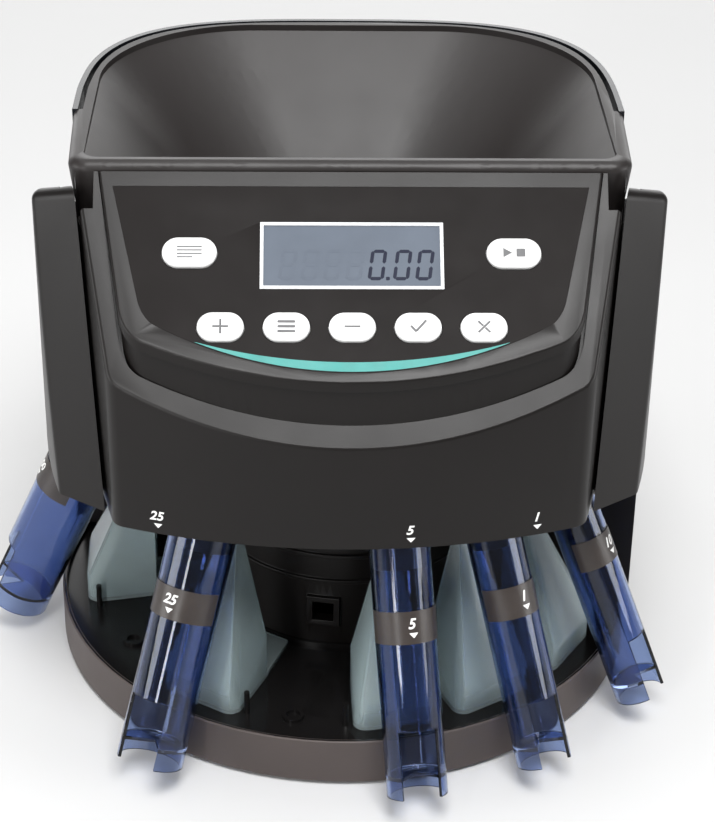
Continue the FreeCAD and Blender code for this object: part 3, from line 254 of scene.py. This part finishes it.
M = {
    "housing": housing_plastic(), "hopper": hopper_plastic(), "base": base_plastic(),
    "film": film_plastic(), "guard": guard_plastic(), "key": key_plastic(),
    "tube": tube_plastic(), "bin": bin_plastic(), "display_pane": display_pane(),
    "display_frame": display_frame(), "steel": steel(), "rubber": rubber(),
    "board": circuit_board(), "inner_plastic": inner_plastic(), "brass": brass(),
    "contact": inner_plastic(), "floor": floor_plastic(), "digits": display_digits(),
    "ghost": display_ghost(),
    "white": white_print(), "grey": grey_print(), "teal": teal_print(), "label": label_print(),
}
SLOT_OF = {row["node"]: row["material_slot"] for row in frame["record"]["subparts"]}
BODY_OF = {node: body for body, nodes in frame["record"]["behaviour"]["bodies"].items()
           for node in nodes}


# ---- pieces from the CAD shells ------------------------------------------------------------
def new_object(name, mesh, materials, body):
    piece = bpy.data.objects.new(name, mesh)
    bpy.context.scene.collection.objects.link(piece)
    for material in materials:
        mesh.materials.append(material)
    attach(piece, body)
    return piece


def refined(node, bevel, segments=3, sharp=32.0):
    """A copy of the CAD node's shell, with its facets joined and its edges rounded.

    It stands for the node. A bevel of 0 leaves the edges as the CAD has them.
    """
    cad = frame["nodes"][node]
    work = bmesh.new()
    work.from_mesh(cad.data)
    bmesh.ops.remove_doubles(work, verts=work.verts, dist=MERGE_GAP)
    if node != "hopper_bowl":              # its curved walls shade better as they are
        bmesh.ops.dissolve_limit(work, angle_limit=FACET_ANGLE, verts=work.verts,
                                 edges=work.edges)
    if node in ("panel_overlay", "panel_console"):
        round_film_corners(work)
    if node == "base_tray":
        mark_tray_floor(work)
    mesh = bpy.data.meshes.new(node + "_shell")
    work.to_mesh(mesh)
    work.free()
    mesh.shade_smooth()
    mesh.set_sharp_from_angle(angle=math.radians(sharp))
    paints = [M[SLOT_OF[node]]]
    if node == "base_tray":
        paints.append(M["floor"])
    piece = new_object(node + "_shell", mesh, paints, BODY_OF[node])
    if bevel > 0:
        edge = piece.modifiers.new("edge", "BEVEL")
        edge.width = bevel
        edge.segments = segments
        edge.limit_method = "ANGLE"
        edge.angle_limit = math.radians(sharp)
        edge.miter_outer = "MITER_ARC"
        edge.harden_normals = True
    elif node == "hopper_bowl":
        even = piece.modifiers.new("even_shading", "WEIGHTED_NORMAL")
        even.keep_sharp = True
        even.weight = 100
    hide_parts(node)
    return piece


def mark_tray_floor(work):
    """Give the faces inside the tray the second material, a glossier black."""
    for face in work.faces:
        middle = face.calc_center_median()
        inside = middle.to_2d().length < TRAY_INNER_R and middle.z > TRAY_FLOOR_Z - 1 * MM
        face.material_index = 1 if inside else 0


def round_film_corners(work):
    """Round the two lower corners of the dark film, or of the recess that it lies in."""
    low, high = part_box("panel_overlay")
    normal = Vector((0, -math.sin(PANEL_ANGLE), math.cos(PANEL_ANGLE)))
    corners = []
    for edge in work.edges:
        line = edge.verts[1].co - edge.verts[0].co
        middle = (edge.verts[0].co + edge.verts[1].co) / 2
        upright = abs(line.normalized().dot(normal)) > 0.999
        beside = FILM_CORNER_NEAR < abs(middle.x) < FILM_CORNER_FAR
        in_front = middle.y < low.y + FILM_CORNER_DEPTH and middle.z < high.z
        film_deep = abs(line.length - FILM_T) < 0.1 * MM
        if upright and beside and in_front and film_deep:
            corners.append(edge)
    bmesh.ops.bevel(work, geom=corners, offset=FILM_CORNER_ROUND, segments=10, profile=0.5,
                    affect="EDGES")


def cad_finish(node):
    """Keep a CAD node's own mesh, with the finish of its slot."""
    cad = frame["nodes"][node]
    cad.data.materials.clear()
    cad.data.materials.append(M[SLOT_OF[node]])


# Edge rounding of the outer nodes, in millimetres; the families below have their own.
BEVELS = {
    "front_housing": 0.5, "panel_console": 0.35, "rear_housing": 0.5, "hopper_bowl": 0,
    "rim_guard": 0.5, "base_tray": 0.3, "head_floor": 0.3, "core_column": 0.4,
    "panel_overlay": 0.15, "lcd_frame": 0.2, "socket_panel": 0.3, "power_inlet": 0.3,
    "power_switch": 0.5, "switch_body": 0.3, "data_port": 0.3,
}
FAMILY_BEVELS = {"tube": 0.3, "bin": 0, "button": 0.2, "chute": 0.3}


def build_shells():
    for node in frame["nodes"]:
        family = node.split("_")[0]
        if node in BEVELS:
            refined(node, BEVELS[node] * MM)
        elif family in FAMILY_BEVELS:
            refined(node, FAMILY_BEVELS[family] * MM)
        else:
            cad_finish(node)


# ---- print on the control panel ------------------------------------------------------------
def panel_frame():
    """Matrix of the panel's plane: X to the right, Y up the slope, Z out, from its top edge."""
    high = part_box("panel_overlay")[1]
    top_y = high.y - FILM_T * math.sin(PANEL_ANGLE)
    place = Matrix.Translation((0, top_y, high.z))
    return place @ Matrix.Rotation(PANEL_ANGLE, 4, "X")


PANEL = panel_frame()


def panel_box(node):
    """Lowest and highest corner of a CAD node in the panel's own axes."""
    inverse = PANEL.inverted()
    points = [inverse @ v.co for v in frame["nodes"][node].data.vertices]
    low = Vector([min(p[i] for p in points) for i in range(3)])
    high = Vector([max(p[i] for p in points) for i in range(3)])
    return low, high


def flat_mesh(name, polygons, thickness):
    """Mesh of flat polygons, given a thickness upwards."""
    work = bmesh.new()
    for points in polygons:
        face = work.faces.new([work.verts.new((x, y, 0)) for x, y in points])
        face.normal_update()
        if face.normal.z < 0:
            face.normal_flip()
    down = bmesh.ops.extrude_face_region(work, geom=list(work.faces), use_keep_orig=True)
    for item in down["geom"]:
        if isinstance(item, bmesh.types.BMVert):
            item.co.z += thickness
    bmesh.ops.recalc_face_normals(work, faces=work.faces)
    mesh = bpy.data.meshes.new(name)
    work.to_mesh(mesh)
    work.free()
    return mesh


def printed(name, polygons, matrix, material, body, thickness=0.1 * MM):
    mesh = flat_mesh(name, polygons, thickness)
    mesh.transform(matrix)
    return new_object(name, mesh, [material], body)


def bar(x0, y0, x1, y1, width):
    """Straight stroke with square ends."""
    along = Vector((x1 - x0, y1 - y0)).normalized() * width / 2
    side = Vector((-along.y, along.x))
    ends = [(x0, y0, -1), (x1, y1, 1)]
    points = []
    for x, y, way in ends:
        for turn in (way, -way):
            points.append((x + way * along.x + turn * side.x, y + way * along.y + turn * side.y))
    return points


def rounded_box(x, y, width, height, radius, steps=5):
    points = []
    for corner in range(4):
        cx = x + (width / 2 - radius) * (1 if corner in (0, 3) else -1)
        cy = y + (height / 2 - radius) * (1 if corner in (0, 1) else -1)
        for i in range(steps + 1):
            angle = math.pi / 2 * (corner + i / steps)
            points.append((cx + radius * math.cos(angle), cy + radius * math.sin(angle)))
    return points


def glyph(kind):
    """Strokes of a key's symbol, in millimetres round the key's centre."""
    if kind == "plus":
        return [bar(-2.9, 0, 2.9, 0, 0.9), bar(0, 0.95, 0, 2.9, 0.9), bar(0, -2.9, 0, -0.95, 0.9)]
    if kind == "minus":
        return [bar(-2.9, 0, 2.9, 0, 0.9)]
    if kind == "batch":
        return [rounded_box(0, dy, 7.6, 1.2, 0.55) for dy in (-2.2, 0, 2.2)]
    if kind == "set":
        return [bar(-2.8, 0.0, -1.1, -2.0, 1.0), bar(-0.4, -1.5, 3.0, 2.5, 1.0)]
    if kind == "clear":
        return [bar(-2.2, -2.2, 2.2, 2.2, 0.9), bar(-2.2, 2.2, -0.75, 0.75, 0.9),
                bar(0.75, -0.75, 2.2, -2.2, 0.9)]
    if kind == "report":
        lines = [bar(-5.0, dy, 5.0, dy, 0.6) for dy in (2.4, 0.8, -0.8)]
        return lines + [bar(-5.0, -2.4, 1.0, -2.4, 0.6)]
    triangle = [(-4.6, -2.2), (-0.8, 0), (-4.6, 2.2)]
    return [triangle, rounded_box(2.9, 0, 3.8, 3.8, 0.4)]


def key_symbols():
    """A generic symbol on each key, in place of the words on the real ones."""
    for kind in ("plus", "minus", "batch", "set", "clear", "report", "start"):
        node = "button_" + kind
        low, high = panel_box(node)
        centre = Vector(((low.x + high.x) / 2, (low.y + high.y) / 2, high.z))
        place = PANEL @ Matrix.Translation(centre) @ Matrix.Scale(MM, 4)
        printed("symbol_" + kind, glyph(kind), place, M["grey"], "key_" + kind, 0.06)


def digit_polygons(x, y, width, height, stroke, lit):
    """Seven-segment digit that leans to the right, from its lower left corner."""
    gap = stroke * 0.16
    half = height / 2
    lean = 0.13
    shapes = []

    def slanted(points):
        return [(x + px + lean * py, y + py) for px, py in points]

    def across(py):
        return [(gap + stroke / 2, py), (gap + stroke, py + stroke / 2),
                (width - gap - stroke, py + stroke / 2), (width - gap - stroke / 2, py),
                (width - gap - stroke, py - stroke / 2), (gap + stroke, py - stroke / 2)]

    def upright(px, y0):
        y1 = y0 + half - stroke / 2
        return [(px, y0 + gap + stroke / 2), (px + stroke / 2, y0 + gap + stroke),
                (px + stroke / 2, y1 - gap), (px, y1 - gap + stroke / 2),
                (px - stroke / 2, y1 - gap), (px - stroke / 2, y0 + gap + stroke)]

    left, right = stroke / 2, width - stroke / 2
    lower, upper = -stroke / 4, half - stroke / 4
    places = {
        "a": across(height - stroke / 2), "d": across(stroke / 2), "g": across(half),
        "f": upright(left, upper), "b": upright(right, upper),
        "e": upright(left, lower), "c": upright(right, lower),
    }
    for key in lit:
        shapes.append(slanted(places[key]))
    return shapes


LIT_DIGITS = 3
DISPLAY_DIGITS = 7


def display():
    """0.00 on the pane, after digits that are faint because they are not lit."""
    low, high = panel_box("lcd_window")
    height = high.y - low.y
    surface = PANEL @ Matrix.Translation((0, 0, high.z + LIFT * 0.3))
    digit_w, digit_h, stroke = 6.9 * MM, 14.2 * MM, 1.5 * MM
    pitch = digit_w + 2.6 * MM
    base = low.y + 0.10 * height
    right = high.x - 4.0 * MM
    lit, unlit = [], []
    for i in range(DISPLAY_DIGITS):
        gap = 1.2 * MM if i > 1 else 0
        x = right - digit_w - i * pitch - gap
        shapes = lit if i < LIT_DIGITS else unlit
        keys = "abcdef" if i < LIT_DIGITS else "abcdefg"
        shapes += digit_polygons(x, base, digit_w, digit_h, stroke, keys)
    dot_x = right - 2 * pitch + 0.6 * MM
    lit.append(rounded_box(dot_x, base + 0.8 * MM, 1.6 * MM, 1.6 * MM, 0.4 * MM))
    printed("display_digits", lit, surface, M["digits"], "root", 0.05 * MM)
    printed("display_ghosts", unlit, surface, M["ghost"], "root", 0.03 * MM)


def teal_line():
    """Lens-shaped line along the lower edge of the panel."""
    arc_r = 172 * MM
    bottom = -85.7 * MM
    half, depth = 66 * MM, 4.1 * MM
    count = 48
    lower, upper = [], []
    for i in range(count + 1):
        x = half * (2 * i / count - 1)
        edge = bottom + arc_r - math.sqrt(arc_r ** 2 - x ** 2)
        thickness = depth * (1 - (x / half) ** 2) + 0.15 * MM
        lower.append((x, edge))
        upper.append((x, edge + thickness))
    shape = lower + upper[::-1]
    place = PANEL @ Matrix.Translation((0, 0, 0.02 * MM))
    printed("panel_line", [shape], place, M["teal"], "root", 0.08 * MM)


# ---- numerals and label bands --------------------------------------------------------------
def text_mesh(text, size, lean=0.25):
    """Outline numerals as a flat mesh centred on the origin."""
    curve = bpy.data.curves.new("numeral", "FONT")
    curve.body = text
    curve.size = size
    curve.shear = lean
    curve.align_x = "CENTER"
    curve.align_y = "CENTER"
    curve.offset = size * 0.022
    curve.extrude = 0.05 * MM
    curve.resolution_u = 6
    holder = bpy.data.objects.new("numeral", curve)
    bpy.context.scene.collection.objects.link(holder)
    bpy.context.view_layer.update()
    mesh = bpy.data.meshes.new_from_object(holder)
    bpy.data.objects.remove(holder)
    mesh.materials.clear()
    return mesh


def triangle_mesh(width, height):
    shape = [(-width / 2, height / 2), (0, -height / 2), (width / 2, height / 2)]
    return flat_mesh("pointer", [shape], 0.1 * MM)


def joined(name, parts):
    """One mesh from several (mesh, x, y) flat parts."""
    work = bmesh.new()
    for mesh, x, y in parts:
        mesh.transform(Matrix.Translation((x, y, 0)))
        work.from_mesh(mesh)
    mesh = bpy.data.meshes.new(name)
    work.to_mesh(mesh)
    work.free()
    return mesh


def mark_mesh(name, numeral, size):
    pointer = triangle_mesh(size * 0.62, size * 0.36)
    return joined(name, [(text_mesh(numeral, size), 0, 0), (pointer, size * 0.12, -size * 0.78)])


def subdivided(mesh, length):
    """Cut long edges so that a flat mesh can be wrapped round a tube."""
    work = bmesh.new()
    work.from_mesh(mesh)
    bmesh.ops.triangulate(work, faces=work.faces)
    for _ in range(3):
        long_edges = [e for e in work.edges if e.calc_length() > length]
        if long_edges:
            bmesh.ops.subdivide_edges(work, edges=long_edges, cuts=1)
            bmesh.ops.triangulate(work, faces=work.faces)
    work.to_mesh(mesh)
    work.free()
    return mesh


def tube_frame(azimuth):
    """Matrix of a coin tube: Z up its axis from the lower end, -Y outwards."""
    tilt = Matrix.Rotation(-TUBE_TILT, 4, "X")
    place = Matrix.Translation((0, -TUBE_END_R, TUBE_END_Z))
    return Matrix.Rotation(math.radians(azimuth), 4, "Z") @ place @ tilt


def wrap_on_tube(mesh, radius, turn=0.0):
    """Bend a flat mesh, drawn in X and Z round the origin, about a tube's axis."""
    for vertex in mesh.vertices:
        angle = vertex.co.x / radius + turn
        reach = radius + vertex.co.z
        vertex.co = Vector((reach * math.sin(angle), -reach * math.cos(angle), vertex.co.y))
    return mesh


LABEL_FROM_TOP = 29 * MM
LABEL_H = 14.5 * MM
LABEL_NUMERAL = 6.4 * MM
HEAD_NUMERAL = 6.2 * MM


def tube_labels():
    """A dark band round each tube, with its numeral and a pointer."""
    top_z = HEAD_Z - 0.8 * MM
    for name, (azimuth, coin, numeral) in COINS.items():
        outer = (coin + TUBE_ROOM) / 2 + TUBE_WALL
        length = (top_z - TUBE_END_Z - outer * math.sin(TUBE_TILT)) / math.cos(TUBE_TILT)
        middle = length - LABEL_FROM_TOP - LABEL_H / 2
        place = tube_frame(azimuth) @ Matrix.Translation((0, 0, middle))
        band = label_band(outer + 0.08 * MM)
        band.transform(place)
        new_object("label_" + name, band, [M["label"]], "tube_" + name)
        mark = subdivided(mark_mesh("label_mark_" + name, numeral, LABEL_NUMERAL), 1.5 * MM)
        mark.transform(Matrix.Translation((0, 1.6 * MM, 0)))
        wrap_on_tube(mark, outer + 0.34 * MM)
        mark.transform(place)
        new_object("label_mark_" + name, mark, [M["white"]], "tube_" + name)


def label_band(radius):
    """Thin band that covers the outward half of a tube."""
    thickness = 0.2 * MM
    count = 40
    work = bmesh.new()
    rings = []
    for i in range(count + 1):
        angle = math.radians(-88 + 176 * i / count)
        ring = []
        for reach in (radius, radius + thickness):
            for z in (-LABEL_H / 2, LABEL_H / 2):
                ring.append(work.verts.new((reach * math.sin(angle), -reach * math.cos(angle), z)))
        rings.append([ring[0], ring[1], ring[3], ring[2]])
    for first, second in zip(rings, rings[1:]):
        for i in range(4):
            j = (i + 1) % 4
            work.faces.new((first[i], first[j], second[j], second[i]))
    work.faces.new(rings[0])
    work.faces.new(rings[-1][::-1])
    bmesh.ops.recalc_face_normals(work, faces=work.faces)
    mesh = bpy.data.meshes.new("label_band")
    work.to_mesh(mesh)
    work.free()
    mesh.shade_smooth()
    mesh.set_sharp_from_angle(angle=math.radians(40))
    return mesh


FRONT_ARC_R = 285 * MM             # plan radius of the head's front wall
HEAD_MARKS = (("25", -84.3 * MM), ("5", 25.2 * MM), ("1", 80.8 * MM))


def head_marks():
    """Numerals along the lower edge of the head, above each front tube."""
    front_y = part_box("front_housing")[0].y
    for name, x in HEAD_MARKS:
        numeral = COINS[name][2]
        bow = FRONT_ARC_R - math.sqrt(FRONT_ARC_R ** 2 - x ** 2)
        turn = math.asin(x / FRONT_ARC_R)
        mark = mark_mesh("head_mark_" + name, numeral, HEAD_NUMERAL)
        stand = Matrix.Rotation(math.pi / 2, 4, "X")
        place = Matrix.Translation((x, front_y + bow - 0.1 * MM, HEAD_Z + 9 * MM))
        mark.transform(place @ Matrix.Rotation(turn, 4, "Z") @ stand)
        new_object("head_mark_" + name, mark, [M["white"]], "root")


# ---- studio --------------------------------------------------------------------------------
def area_light(name, location, target, size, power):
    """Softbox that the camera itself doesn't see."""
    data = bpy.data.lights.new(name, "AREA")
    data.shape = "RECTANGLE"
    data.size, data.size_y = size
    data.energy = power
    light = bpy.data.objects.new(name, data)
    light.location = location
    direction = Vector(target) - Vector(location)
    light.rotation_euler = direction.to_track_quat("-Z", "Y").to_euler()
    light.visible_camera = False
    bpy.context.scene.collection.objects.link(light)


# Name, place, point that it faces, width and height, watts.
SOFTBOXES = (
    ("key_light", (0.12, -0.85, 1.75), (0, 0, 0.2), (0.8, 0.8), 40),
    ("top_light", (0.0, 0.3, 2.2), (0, 0, 0.15), (2.4, 2.4), 30),
    ("back_panel", (0.0, 2.2, 0.7), (0, 0, 0.3), (4.0, 1.4), 44),
    ("left_panel", (-1.6, -0.55, 0.5), (0, 0, 0.2), (0.9, 0.8), 14),
    ("right_panel", (1.6, -0.55, 0.5), (0, 0, 0.2), (0.9, 0.8), 14),
    ("strip_light", (-0.75, -1.4, 0.7), (0, 0, 0.1), (0.2, 1.0), 10),
)


def studio():
    """Plain pale floor, even sky and softboxes."""
    mesh = bpy.data.meshes.new("floor")
    reach = FLOOR_REACH
    mesh.from_pydata([(-reach, -reach, 0), (reach, -reach, 0), (reach, reach, 0),
                      (-reach, reach, 0)], [], [(0, 1, 2, 3)])
    floor = bpy.data.objects.new("floor", mesh)
    bpy.context.scene.collection.objects.link(floor)
    paint = Paint("studio_floor", (FLOOR_ALBEDO,) * 3, 0.9)
    mesh.materials.append(paint.mottle(3, 0.01).material)
    world = bpy.data.worlds.new("studio")
    world.use_nodes = True
    world.node_tree.nodes["Background"].inputs["Color"].default_value = (1.0, 1.0, 1.0, 1.0)
    world.node_tree.nodes["Background"].inputs["Strength"].default_value = WORLD_STRENGTH
    bpy.context.scene.world = world
    for row in SOFTBOXES:
        area_light(*row)


# The photo's angle.
CAMERA_PLACE = (-19.5 * MM, -932.9 * MM, 651.8 * MM)
CAMERA_YAW = math.radians(1.537)
CAMERA_PITCH = math.radians(90 - 29.887)
CAMERA_ROLL = math.radians(0.843)
CAMERA_LENS = 97.3


def camera():
    data = bpy.data.cameras.new("camera")
    data.lens = CAMERA_LENS
    data.sensor_width = 36.0
    view = bpy.data.objects.new("camera", data)
    aim = Matrix.Rotation(-CAMERA_YAW, 4, "Z") @ Matrix.Rotation(CAMERA_PITCH, 4, "X")
    roll = Matrix.Rotation(CAMERA_ROLL, 4, "Z")
    view.matrix_world = Matrix.Translation(CAMERA_PLACE) @ aim @ roll
    bpy.context.scene.collection.objects.link(view)
    bpy.context.scene.camera = view


camera()
studio()
build_shells()
key_symbols()
display()
teal_line()
tube_labels()
head_marks()
bpy.context.scene.view_settings.view_transform = "Standard"

bpy.context.view_layer.update()
